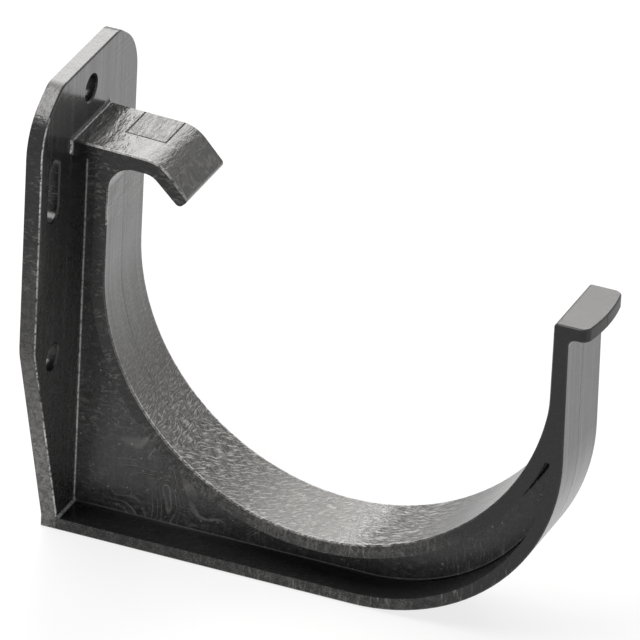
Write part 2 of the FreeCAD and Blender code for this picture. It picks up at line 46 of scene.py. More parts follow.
def deselectAll():
    if bpy.context.object and bpy.context.object.mode != "OBJECT":
        bpy.ops.object.mode_set(mode="OBJECT")
    bpy.ops.object.select_all(action="DESELECT")


def newGroup(name, inputs, outputs):
    group = bpy.data.node_groups.new(name, "ShaderNodeTree")
    for direction, sockets in (("INPUT", inputs), ("OUTPUT", outputs)):
        for socketName, socketType in sockets:
            group.interface.new_socket(name=socketName, in_out=direction, socket_type=socketType)
    return group, group.nodes.new("NodeGroupOutput")


def addNode(tree, kind, settings=None, values=None):
    # values go on the sockets by name or number, and a value that is itself a socket is linked
    node = tree.nodes.new(kind)
    for key, value in (settings or {}).items():
        setattr(node, key, value)
    for key, value in (values or {}).items():
        if isinstance(value, bpy.types.NodeSocket):
            tree.links.new(value, node.inputs[key])
        else:
            node.inputs[key].default_value = value
    return node


def linkInto(tree, node, values):
    for key, value in values.items():
        tree.links.new(value, node.inputs[key])


def mathNode(tree, operation, *values, clamp=False):
    settings = {"operation": operation, "use_clamp": clamp}
    return addNode(tree, "ShaderNodeMath", settings, dict(enumerate(values))).outputs[0]


def chain(tree, operation, values):
    result = values[0]
    for value in values[1:]:
        result = mathNode(tree, operation, result, value)
    return result


def product(tree, *values):
    return chain(tree, "MULTIPLY", values)


def addUp(tree, *values):
    return chain(tree, "ADD", values)


def largest(tree, *values):
    return chain(tree, "MAXIMUM", values)


def minus(tree, first, second):
    return mathNode(tree, "SUBTRACT", first, second)


def without(tree, mask):
    return minus(tree, 1.0, mask)


def above(tree, value, limit):
    return mathNode(tree, "GREATER_THAN", value, limit)


def below(tree, value, limit):
    return mathNode(tree, "LESS_THAN", value, limit)


def absolute(tree, value):
    return mathNode(tree, "ABSOLUTE", value)


def mapRange(tree, value, span, give=(0.0, 1.0), smooth=False):
    settings = {"interpolation_type": "SMOOTHSTEP" if smooth else "LINEAR"}
    values = {"Value": value, "From Min": span[0], "From Max": span[1], "To Min": give[0], "To Max": give[1]}
    return addNode(tree, "ShaderNodeMapRange", settings, values).outputs["Result"]


def noiseNode(tree, vector, scale, detail=2.0, roughness=0.5, distortion=0.0):
    values = {"Vector": vector, "Scale": scale, "Detail": detail, "Roughness": roughness,
              "Distortion": distortion}
    return addNode(tree, "ShaderNodeTexNoise", None, values).outputs["Fac"]


def stretchedNoise(tree, vector, scale, turn=(0.0, 0.0, 0.0), **look):
    # scale is per metre along each axis, turn in degrees
    rotation = [math.radians(angle) for angle in turn]
    moved = addNode(tree, "ShaderNodeMapping", None, {"Vector": vector, "Rotation": rotation, "Scale": scale})
    return noiseNode(tree, moved.outputs[0], 1.0, **look)


def vectorNode(tree, operation, values):
    return addNode(tree, "ShaderNodeVectorMath", {"operation": operation}, values).outputs[0]


mixSockets = {"RGBA": (6, 7, 2), "FLOAT": (2, 3, 0), "VECTOR": (4, 5, 1)}    # first, second and result


def mixNode(tree, kind, factor, first, second):
    firstSocket, secondSocket, result = mixSockets[kind]
    values = {0: factor, firstSocket: first, secondSocket: second}
    return addNode(tree, "ShaderNodeMix", {"data_type": kind}, values).outputs[result]


def joined(tree, first, second):
    return addNode(tree, "ShaderNodeCombineXYZ", None, {0: first, 1: second}).outputs[0]


def split(tree, vector):
    return list(addNode(tree, "ShaderNodeSeparateXYZ", None, {0: vector}).outputs)


def objectPlace(tree):
    return addNode(tree, "ShaderNodeTexCoord").outputs["Object"]


def surfaceNormal(tree):
    return split(tree, addNode(tree, "ShaderNodeNewGeometry").outputs["Normal"])


def offSeatAxis(tree, x, z):
    centreX, centreZ = bracketShape["seatCentre"]
    return minus(tree, x, centreX), minus(tree, centreZ, z)


def seatAngle(tree, x, z):
    # in radians from straight down, growing towards the upright
    outward, downward = offSeatAxis(tree, x, z)
    return mathNode(tree, "ARCTAN2", outward, downward)


def seatDistance(tree, x, z):
    outward, downward = offSeatAxis(tree, x, z)
    squares = addUp(tree, product(tree, outward, outward), product(tree, downward, downward))
    return mathNode(tree, "SQRT", squares)


# Where a spot lies on the skin: along the bracket's side profile and across it, or the side face itself
skinLook = {"beyondPlate": 0.0003, "belowArmTop": 0.0045}


def makeSkinGroup():
    tree, result = newGroup("skinPlace", [], [("Skin", "NodeSocketVector"), ("Side", "NodeSocketFloat")])
    x, y, z = split(tree, objectPlace(tree))
    sideways = absolute(tree, surfaceNormal(tree)[1])
    aroundSeat = product(tree, seatAngle(tree, x, z), bracketShape["seatRadius"])
    isWall = below(tree, x, bracketShape["plateFront"] + skinLook["beyondPlate"])
    along = mixNode(tree, "FLOAT", isWall, aroundSeat, z)
    isHigh = above(tree, z, bracketShape["armTop"] - skinLook["belowArmTop"])
    isArm = product(tree, isHigh, without(tree, isWall))
    along = mixNode(tree, "FLOAT", isArm, along, minus(tree, x, z))
    side = above(tree, sideways, facing["sideways"])
    skin = mixNode(tree, "VECTOR", side, joined(tree, along, y), joined(tree, x, z))
    linkInto(tree, result, {"Skin": skin, "Side": side})
    return tree


# Short silvery strokes at the surface, close together, that run different ways round the seat
fibreLook = {
    "length": 0.0023,
    "width": 0.00048,
    "crisp": (0.48, 0.63),              # the nearer these are, the harder a stroke's rim
    "swirl": {"scale": 260.0, "push": 0.0016},
    # degrees in the skin, with where along the skin each way holds: back, bottom and front
    "ways": (
        {"turn": 84.0, "from": -0.2, "to": -0.040, "size": 0.85, "shift": (0.0, 0.0), "strength": 1.0},
        {"turn": -52.0, "from": -0.040, "to": 0.006, "size": 1.1, "shift": (0.131, 0.0786), "strength": 1.0},
        {"turn": 8.0, "from": 0.006, "to": 0.2, "size": 1.6, "shift": (0.262, 0.1572), "strength": 0.78},
    ),
    "fade": 0.003,
    "ragged": {"scale": 130.0, "push": 0.05},
    "crossing": {"turn": 24.0, "size": 1.0, "shift": (0.31, 0.186), "strength": 0.4},
    "cloud": 240.0,
}


def makeStrokes(tree, skin, look):
    # the shift only takes the strokes from another spot of the noise
    turned = addNode(tree, "ShaderNodeMapping", None, {
        "Vector": skin, "Rotation": (0, 0, math.radians(look["turn"])), "Location": (*look["shift"], 0)})
    scale = (1.0 / (fibreLook["length"] * look["size"]), 1.0 / (fibreLook["width"] * look["size"]), 1.0)
    strokes = stretchedNoise(tree, turned.outputs[0], scale, detail=2.0, roughness=0.6)
    return product(tree, mapRange(tree, strokes, fibreLook["crisp"]), look["strength"])


def makeFibreGroup():
    tree, result = newGroup("fibreStrokes", [("Skin", "NodeSocketVector")],
                            [("Strokes", "NodeSocketFloat"), ("Cloud", "NodeSocketFloat")])
    skin = tree.nodes.new("NodeGroupInput").outputs["Skin"]
    swirl = addNode(tree, "ShaderNodeTexNoise", None, {
        "Vector": skin, "Scale": fibreLook["swirl"]["scale"], "Detail": 1.0}).outputs["Color"]
    push = vectorNode(tree, "SUBTRACT", {0: swirl, 1: (0.5, 0.5, 0.5)})
    push = vectorNode(tree, "SCALE", {0: push, "Scale": fibreLook["swirl"]["push"]})
    bent = vectorNode(tree, "ADD", {0: skin, 1: push})
    ragged = minus(tree, noiseNode(tree, skin, fibreLook["ragged"]["scale"]), 0.5)
    along = addUp(tree, split(tree, skin)[0], product(tree, ragged, fibreLook["ragged"]["push"]))
    total = makeStrokes(tree, bent, fibreLook["crossing"])
    fade = fibreLook["fade"]
    for way in fibreLook["ways"]:
        after = mapRange(tree, along, (way["from"] - fade, way["from"] + fade))
        before = mapRange(tree, along, (way["to"] - fade, way["to"] + fade), (1.0, 0.0))
        total = largest(tree, total, product(tree, makeStrokes(tree, bent, way), after, before))
    cloud = noiseNode(tree, skin, fibreLook["cloud"], detail=3.0, roughness=0.6)
    linkInto(tree, result, {"Strokes": total, "Cloud": cloud})
    return tree


# Soft lines along the way the mould opens, with the thin seam line in the middle
drawLook = {
    "lines": (14.0, 620.0, 14.0),
    "seamAt": -0.0006,
    "seamHalf": (0.00008, 0.0003),      # full black to here, and where it ends
    "seamFrom": 0.006,                  # X
    "wander": {"scale": 60.0, "push": 0.0012},
    "broken": {"scale": 90.0, "span": (0.36, 0.52), "faintest": 0.35},
}


def makeDrawLineGroup():
    tree, result = newGroup("drawLines", [], [("Lines", "NodeSocketFloat"), ("Seam", "NodeSocketFloat")])
    place = objectPlace(tree)
    x, y = split(tree, place)[:2]
    outward = mapRange(tree, absolute(tree, surfaceNormal(tree)[0]), facing["outward"])
    lines = stretchedNoise(tree, place, drawLook["lines"], detail=3.0, roughness=0.65)
    lines = product(tree, minus(tree, lines, 0.5), outward)
    wander = noiseNode(tree, place, drawLook["wander"]["scale"], detail=1.0)
    offSeam = addUp(tree, y, product(tree, wander, drawLook["wander"]["push"]), -drawLook["seamAt"])
    seam = mapRange(tree, absolute(tree, offSeam), drawLook["seamHalf"], (1.0, 0.0))
    broken = noiseNode(tree, place, drawLook["broken"]["scale"])
    broken = mapRange(tree, broken, drawLook["broken"]["span"], (drawLook["broken"]["faintest"], 1.0))
    seam = product(tree, seam, outward, above(tree, x, drawLook["seamFrom"]), broken)
    linkInto(tree, result, {"Lines": lines, "Seam": seam})
    return tree


# Painted highlights: the edges and the corner beside the web are painted pale, in an uneven line, where they
# would catch the light
edgeHighlightLook = {
    "wide": 0.0008,                     # on the skin
    "narrow": 0.00026,                  # on the side face
    "onSkin": 0.0003,                   # a spot of the seat's skin lies within this of its radius
    "dots": {"scale": 1000.0, "dotted": (0.38, 0.54), "whole": (0.36, 0.56), "faintest": 0.35},
    "stretches": {"scale": 70.0, "span": (0.40, 0.60), "faintest": 0.3},
    "plateRound": {"beyondPlate": 0.0009, "forward": (0.25, 0.45), "turned": (0.25, 0.45),
                   "notSide": (0.97, 0.85), "corner": 0.003},
    # holes kept clear: off the middle from and to, and Z above
    "sideHoles": (0.0115, 0.0232, 0.042),
    "topHole": (0.0, 0.005, 0.106),
    "bottomCorner": {"halfway": (0.22, 0.38), "x": 0.007, "z": 0.006},
    # where each begins, gets dimmer and ends, along X
    "seatRim": {"start": (0.010, 0.024), "dimmer": (0.036, 0.050), "dim": (1.0, 0.45), "end": (0.104, 0.090)},
    "armRim": {"start": (0.006, 0.010), "dimmer": (0.026, 0.034), "dim": (0.8, 0.25), "lowest": 0.084},
}


def makeEdgeHighlightGroup():
    tree, result = newGroup("paintedEdgeHighlights", [], [("Edge", "NodeSocketFloat")])
    place = objectPlace(tree)
    x, y, z = split(tree, place)
    normalX, normalY, normalZ = surfaceNormal(tree)
    sideways = absolute(tree, normalY)
    offMiddle = absolute(tree, y)
    halfWidth = bracketShape["halfWidth"]
    wide, narrow = edgeHighlightLook["wide"], edgeHighlightLook["narrow"]
    look = edgeHighlightLook["dots"]
    dots = noiseNode(tree, place, look["scale"], detail=2.0, roughness=0.7)
    dotted = mapRange(tree, dots, look["dotted"])
    nearlyWhole = mapRange(tree, dots, look["whole"], (look["faintest"], 1.0))
    look = edgeHighlightLook["stretches"]
    longOrShort = mapRange(tree, noiseNode(tree, place, look["scale"]), look["span"], (look["faintest"], 1.0))

    #     painted highlight on the round along the plate's front edge, but not on the rims of its holes
    look = edgeHighlightLook["plateRound"]
    atHoles = []
    for first, last, lowest in (edgeHighlightLook["sideHoles"], edgeHighlightLook["topHole"]):
        atHoles.append(product(tree, above(tree, offMiddle, first), below(tree, offMiddle, last),
                               above(tree, z, lowest)))
    inCorner = below(tree, offMiddle, look["corner"])
    broken = mixNode(tree, "FLOAT", inCorner, product(tree, dotted, longOrShort), nearlyWhole)
    turned = mapRange(tree, sideways, look["turned"])
    turned = product(tree, turned, mapRange(tree, sideways, look["notSide"]))
    plateRound = product(tree, turned, mapRange(tree, normalX, look["forward"]),
                         below(tree, x, bracketShape["plateFront"] + look["beyondPlate"]),
                         without(tree, largest(tree, *atHoles)), broken)

    #     painted highlight where the plate's front meets the foot inside the recess
    look = edgeHighlightLook["bottomCorner"]
    halfway = mapRange(tree, product(tree, normalX, normalZ), look["halfway"])
    bottomCorner = product(tree, halfway, below(tree, z, look["z"]), below(tree, x, look["x"]),
                           below(tree, offMiddle, halfWidth), nearlyWhole)

    #     painted highlight on the seat's rim, on its skin and on the side, brightest low at the back
    look = edgeHighlightLook["seatRim"]
    beyondSkin = minus(tree, seatDistance(tree, x, z), bracketShape["seatRadius"])
    nearRim = mapRange(tree, offMiddle, (halfWidth - wide, halfWidth - wide * 0.5))
    onRim = product(tree, below(tree, sideways, facing["skinward"]), nearRim,
                    below(tree, beyondSkin, edgeHighlightLook["onSkin"]))
    onSide = product(tree, above(tree, sideways, facing["sideways"]),
                     mapRange(tree, beyondSkin, (narrow * 1.6, narrow * 0.6)))
    seatRim = product(tree, largest(tree, onRim, onSide), mapRange(tree, x, look["start"]),
                      mapRange(tree, x, look["dimmer"], look["dim"]), mapRange(tree, x, look["end"]),
                      below(tree, z, bracketShape["seatCentre"][1]), dotted)

    #     painted highlight along the outer edge of the arm's near side, down to the hook's tip
    look = edgeHighlightLook["armRim"]
    outer = mapRange(tree, addUp(tree, normalX, normalZ), facing["outAndUp"])
    onArm = product(tree, above(tree, z, look["lowest"]), below(tree, x, bracketShape["hookFront"]),
                    below(tree, y, 0.0))
    armRim = product(tree, outer, nearRim, onArm, mapRange(tree, x, look["start"]),
                     mapRange(tree, x, look["dimmer"], look["dim"]), dotted, longOrShort)

    linkInto(tree, result, {"Edge": largest(tree, plateRound, bottomCorner, seatRim, armRim)})
    return tree


# Outline of the insert in the mould, pressed into the arm's top: three thin lines, open at the far edge
insertLook = {"x": (0.0135, 0.0236), "y": -0.0009, "width": 0.00018, "lowest": 0.1028}


def makeInsertGroup():
    tree, result = newGroup("insertOutline", [],
                            [("Groove", "NodeSocketFloat"), ("Inside", "NodeSocketFloat")])
    x, y, z = split(tree, objectPlace(tree))
    width = insertLook["width"]
    firstX, lastX = insertLook["x"]
    pastNear = above(tree, y, insertLook["y"] - width)
    between = absolute(tree, minus(tree, x, (firstX + lastX) / 2))
    between = below(tree, between, (lastX - firstX) / 2 + width)
    lines = []
    for axis, value, within in ((x, firstX, pastNear), (x, lastX, pastNear), (y, insertLook["y"], between)):
        away = absolute(tree, minus(tree, axis, value))
        lines.append(product(tree, mapRange(tree, away, (width * 0.5, width * 1.3), (1.0, 0.0)), within))
    onTop = above(tree, z, insertLook["lowest"])
    linkInto(tree, result, {"Groove": product(tree, largest(tree, *lines), onTop),
                            "Inside": product(tree, pastNear, between, onTop)})
    return tree


# Light and dark ticks across the band's side, where the cutter that made the mould chattered
tickLook = {
    "perMetre": (1250.0, 420.0),        # along the band and across it
    "radius": 0.058,                    # turns the angle round the seat into a length
    "band": (0.0600, 0.0594),           # distance from the seat's axis
    "offMiddle": 0.0105,
    "end": (0.104, 0.088),              # X
    "lowEnd": {"z": (0.030, 0.052), "weakest": 0.85},
    "patches": {"scale": 170.0, "span": (0.42, 0.60), "weakest": 0.15},
}


def makeTickGroup():
    tree, result = newGroup("cutterTicks", [], [("Ticks", "NodeSocketFloat")])
    place = objectPlace(tree)
    x, y, z = split(tree, place)
    alongScale, acrossScale = tickLook["perMetre"]
    distance = seatDistance(tree, x, z)
    angle = product(tree, seatAngle(tree, x, z), tickLook["radius"])
    high = above(tree, z, bracketShape["seatCentre"][1])
    along = product(tree, mixNode(tree, "FLOAT", high, angle, minus(tree, 0.0, z)), alongScale)
    across = product(tree, mixNode(tree, "FLOAT", high, distance, x), acrossScale)
    ticks = noiseNode(tree, joined(tree, along, across), 1.0, detail=2.0, roughness=0.75, distortion=0.4)
    offMiddle = above(tree, absolute(tree, y), tickLook["offMiddle"])
    onBand = product(tree, mapRange(tree, x, tickLook["end"]), offMiddle)
    nearBand = largest(tree, mapRange(tree, distance, tickLook["band"]), high)
    look = tickLook["lowEnd"]
    lowEnd = mapRange(tree, z, look["z"], (look["weakest"], 1.0))
    look = tickLook["patches"]
    patches = mapRange(tree, noiseNode(tree, place, look["scale"]), look["span"], (look["weakest"], 1.0))
    ticks = product(tree, minus(tree, ticks, 0.5), onBand, nearBand, lowEnd, patches)
    linkInto(tree, result, {"Ticks": ticks})
    return tree


# Marks left by the flow of the plastic on the web: level dashes higher up, soft swirls low down
flowLook = {
    "dashes": {"scale": (360.0, 1.0, 1000.0), "turn": (0.0, -12.0, 0.0), "crisp": (0.48, 0.68),
               "patches": 95.0, "patchSpan": (0.44, 0.60), "weakest": 0.12,
               "high": (0.020, 0.034), "lowStrength": 0.35, "end": (0.104, 0.090)},
    "swirls": {"scale": 55.0, "folds": 15.0, "crisp": (0.28, 0.48),
               "patches": 120.0, "patchSpan": (0.42, 0.56),
               "low": (0.032, 0.022), "start": (0.012, 0.022), "end": (0.060, 0.045)},
    "ticks": {"scale": (1300.0, 1.0, 230.0), "turn": (0.0, -14.0, 0.0), "crisp": (0.54, 0.70),
              "patches": 80.0, "patchSpan": (0.42, 0.56), "low": (0.026, 0.016), "start": (0.035, 0.050)},
}


def makeFlowGroup():
    tree, result = newGroup("flowMarks", [], [
        ("Dashes", "NodeSocketFloat"), ("Swirls", "NodeSocketFloat"), ("Ticks", "NodeSocketFloat")])
    place = objectPlace(tree)
    spot = split(tree, place)
    x, z = spot[0], spot[2]

    look = flowLook["dashes"]
    dashes = stretchedNoise(tree, place, look["scale"], look["turn"], detail=2.0, roughness=0.65,
                            distortion=0.6)
    patches = noiseNode(tree, place, look["patches"])
    patches = mapRange(tree, patches, look["patchSpan"], (look["weakest"], 1.0))
    dashes = product(tree, mapRange(tree, dashes, look["crisp"]), patches,
                     mapRange(tree, z, look["high"], (look["lowStrength"], 1.0)),
                     mapRange(tree, x, look["end"]))

    # a cloud folded back on itself many times gives bands round its hills
    look = flowLook["swirls"]
    folded = noiseNode(tree, place, look["scale"], detail=1.0, distortion=0.9)
    folded = mathNode(tree, "FRACT", product(tree, folded, look["folds"]))
    folded = absolute(tree, minus(tree, folded, 0.5))
    patches = mapRange(tree, noiseNode(tree, place, look["patches"], detail=1.0), look["patchSpan"])
    swirls = product(tree, mapRange(tree, folded, look["crisp"], smooth=True), mapRange(tree, z, look["low"]),
                     mapRange(tree, x, look["start"]), mapRange(tree, x, look["end"]), patches)

    look = flowLook["ticks"]
    ticks = stretchedNoise(tree, place, look["scale"], look["turn"], detail=2.0, roughness=0.6)
    patches = mapRange(tree, noiseNode(tree, place, look["patches"]), look["patchSpan"])
    ticks = product(tree, mapRange(tree, ticks, look["crisp"]), patches, mapRange(tree, z, look["low"]),
                    mapRange(tree, x, look["start"]))
    linkInto(tree, result, {"Dashes": dashes, "Swirls": swirls, "Ticks": ticks})
    return tree


# Where the plastic looks different. A pair is from none to full, or between the two levels beside it
zoneLook = {
    "seatSkin": 0.0005,                 # beyond the seat's radius
    "seatLow": {"z": (0.075, 0.034), "level": (0.12, 1.0)},
    "seatFarOut": {"x": (0.088, 0.104), "level": (1.0, 0.16)},
    "backHalf": (0.058, 0.044),         # X
    "frontHalf": (0.068, 0.084),        # X
    "bottom": (0.028, 0.018),           # Z
    "clearStrokes": {"z": (0.046, 0.026), "level": (0.5, 1.0)},
    # the faint mottle away from the straight-out faces, which get a painted sheen
    "mottleElsewhere": 0.2,
    "armTop": 0.09,                     # Z above
    "armSkin": 0.083,                   # Z above
    "beyondPlate": 0.0004,
    "behindFront": 0.0003,
    # the plate's side faces, more so lower down, painted lighter as a painted reflection of the floor
    "plateSide": {"facing": (0.7, 0.9), "z": (0.085, 0.035)},
    # the plate's front lower down, painted lighter as painted light
    "plateFront": {"depth": 0.001, "z": (0.095, 0.075)},
    "plateRim": (0.5, 0.2),             # how squarely it faces outward
    # the bare sides low down, painted lighter as a painted reflection of the floor
    "lowSide": {"x": (0.112, 0.092), "z": (0.040, 0.022)},
    "footFillet": {"offMiddle": 0.0024, "x": 0.006, "z": 0.006, "upward": 0.1},
}


def findZones(tree, place, side):
    x, y, z = split(tree, place)
    normalX, normalY, normalZ = surfaceNormal(tree)
    offMiddle = absolute(tree, y)
    skinSide = without(tree, side)
    plateFront = bracketShape["plateFront"]
    lipX, lipZ = bracketShape["lip"]

    # the seat's inner skin, strongest at its bottom and back
    onSeat = below(tree, seatDistance(tree, x, z), bracketShape["seatRadius"] + zoneLook["seatSkin"])
    low = mapRange(tree, z, zoneLook["seatLow"]["z"], zoneLook["seatLow"]["level"], smooth=True)
    farOut = mapRange(tree, x, zoneLook["seatFarOut"]["x"], zoneLook["seatFarOut"]["level"], smooth=True)
    seat = product(tree, onSeat, skinSide, low, farOut)
    frontHalf = product(tree, seat, mapRange(tree, x, zoneLook["frontHalf"], smooth=True))
    notFront = minus(tree, seat, frontHalf)
    look = zoneLook["clearStrokes"]
    clear = mapRange(tree, z, look["z"], look["level"], smooth=True)

    # lip and arm
    onLip = product(tree, above(tree, x, lipX), above(tree, z, lipZ))
    polished = product(tree, mapRange(tree, normalX, facing["straightOut"]), without(tree, onLip))
    upward = mapRange(tree, normalZ, facing["upward"])
    outer = mapRange(tree, addUp(tree, normalX, normalZ), facing["outAndUp"])
    pastPlate = above(tree, x, plateFront + zoneLook["beyondPlate"])
    armSkin = product(tree, outer, pastPlate, below(tree, x, bracketShape["hookFront"]),
                      above(tree, z, zoneLook["armSkin"]))

    # plate
    behindFront = below(tree, x, plateFront - zoneLook["behindFront"])
    look = zoneLook["plateSide"]
    plateSide = product(tree, behindFront, mapRange(tree, absolute(tree, normalY), look["facing"]),
                        mapRange(tree, z, look["z"]))
    look = zoneLook["plateFront"]
    onFront = product(tree, polished, below(tree, x, plateFront + look["depth"]),
                      mapRange(tree, z, look["z"]))
    rim = product(tree, behindFront, mapRange(tree, absolute(tree, normalX), zoneLook["plateRim"]))

    # sides, the web between them, and the fillet along its foot
    web = product(tree, below(tree, offMiddle, bracketShape["webHalf"]), side)
    bareSide = minus(tree, side, web)
    look = zoneLook["lowSide"]
    lowSide = product(tree, bareSide, mapRange(tree, z, look["z"]), mapRange(tree, x, look["x"]))
    look = zoneLook["footFillet"]
    footFillet = product(tree, below(tree, offMiddle, look["offMiddle"]), skinSide, below(tree, z, look["z"]),
                         above(tree, x, look["x"]), above(tree, normalZ, look["upward"]))
    return {
        "x": x,
        "seat": seat,
        "backHalf": product(tree, seat, mapRange(tree, x, zoneLook["backHalf"], smooth=True)),
        "frontHalf": frontHalf,
        "bottom": product(tree, notFront, mapRange(tree, z, zoneLook["bottom"], smooth=True)),
        "clear": clear,
        "onLip": onLip,
        "lipTop": product(tree, onLip, upward),
        "polished": polished,
        "sheenAndMottle": addUp(tree, polished, zoneLook["mottleElsewhere"]),
        "armTop": product(tree, upward, pastPlate, above(tree, z, zoneLook["armTop"])),
        "armSkin": armSkin,
        "plateSide": plateSide,
        "plateFront": onFront,
        "rim": rim,
        "side": side,
        "skinSide": skinSide,
        "web": web,
        "bareSide": bareSide,
        "offSides": without(tree, bareSide),
        "lowSide": lowSide,
        "footFillet": footFillet,
    }


plasticLook = {
    "ior": 1.42,
    "coatRoughness": 0.12,
    "deep": (0.0115, 0.0115, 0.0125, 1.0),
    # painted shade: the bare side faces get this darker colour
    "paintedSideShade": (0.0050, 0.0050, 0.0055, 1.0),
    "silver": (0.62, 0.60, 0.565, 1.0),
    # pale colour of the painted edge highlights
    "edgeHighlightColour": (0.88, 0.88, 0.86, 1.0),
    "cool": (0.050, 0.052, 0.060, 1.0),
    "shadow": (0.003, 0.003, 0.003, 1.0),
    "grain": 2300.0,
    "coarse": 700.0,
    "mottle": {"scale": (330.0, 120.0, 1.0), "turn": (0.0, 0.0, 35.0)},
    "combed": {"scale": (1500.0, 240.0, 1.0), "turn": (0.0, 0.0, -38.0), "crisp": (0.36, 0.62)},
    # how silvery the strokes are
    "strokes": {"seat": 0.60, "armSkin": 0.12, "elsewhere": 0.02, "blurred": 0.42},
    # zone, noise, the noise's span, and the silver that it gives from the one end to the other
    "hazeAndPaintedLight": (
        ("seat", "cloud", (0.3, 0.7), (0.0, 0.03)),
        # painted reflection of the floor on the plate's sides, lighter lower down
        ("plateSide", "speckle", (0.42, 0.62), (0.07, 0.24)),
        # painted reflection of the floor on the low sides, speckled
        ("lowSide", "speckle", (0.44, 0.60), (0.0, 0.090)),
        ("lipTop", "cloud", (0.3, 0.7), (0.01, 0.06)),
        ("web", "speckle", (0.44, 0.60), (0.0, 0.065)),
        ("polished", "lines", (0.02, 0.16), (0.0, 0.035)),
        ("side", "grain", (0.50, 0.72), (0.0, 0.020)),
        # painted sheen on the faces that look straight out, and a faint mottle elsewhere
        ("sheenAndMottle", "coarse", (0.35, 0.7), (0.012, 0.026)),
    ),
    # painted light on the plate's front lower down, and a touch of light on every face but the bare sides,
    # against their painted shade
    "evenPaintedLight": (("plateFront", 0.03), ("offSides", 0.006)),
    "webCloud": {"span": (0.38, 0.66), "share": (0.0, 0.5)},
    # painted light on the web, stronger towards the plate
    "paintedLightByPlate": {"x": (0.022, 0.006), "share": (0.014, 0.029)},
    # painted glints: sparse bright specks on the web
    "paintedWebGlints": {"scale": 1250.0, "span": (0.71, 0.79), "share": (0.0, 0.45)},
    "dashes": 0.20,
    "swirls": 0.19,
    "flowTicks": 0.24,
    "cutterTicks": 0.9,
    # how strongly the painted edge highlights show in the colour
    "edges": 0.85,
    "seam": 0.6,
    "roughness": {"even": 0.24, "silver": 0.45, "cloud": 0.10},
    # added to the roughness, zone by zone
    "dulled": (
        ("dark", 0.4), ("backHalf", 0.10), ("bottom", 0.10), ("frontHalf", -0.16), ("onLip", 0.20),
        ("insert", 0.22), ("streaks", -0.20), ("footFillet", 0.4), ("armTop", -0.03),
        ("armSkin", -0.14), ("armMottle", 0.28), ("edges", 0.3),
    ),
    # what stands out of the surface, and how many millimetres for a full 1
    "relief": (
        ("cloud", 0.040), ("coarse", 0.0045), ("strokes", 0.072), ("armMottle", 0.31), ("streaks", 0.030),
        ("rimGrain", 0.070), ("sideGrain", 0.0060), ("flow", 0.140), ("lines", 0.06), ("groove", -0.10),
        ("ticks", 0.10),
    ),
    "reliefOffSeat": 0.06,
    # a clear gloss on the faces that look straight out, streaked like the draw lines and thinner far out
    "coat": {"lines": (-0.2, 0.2), "weight": (0.35, 0.65), "x": (0.09, 0.11), "farOut": (1.0, 0.55)},
}


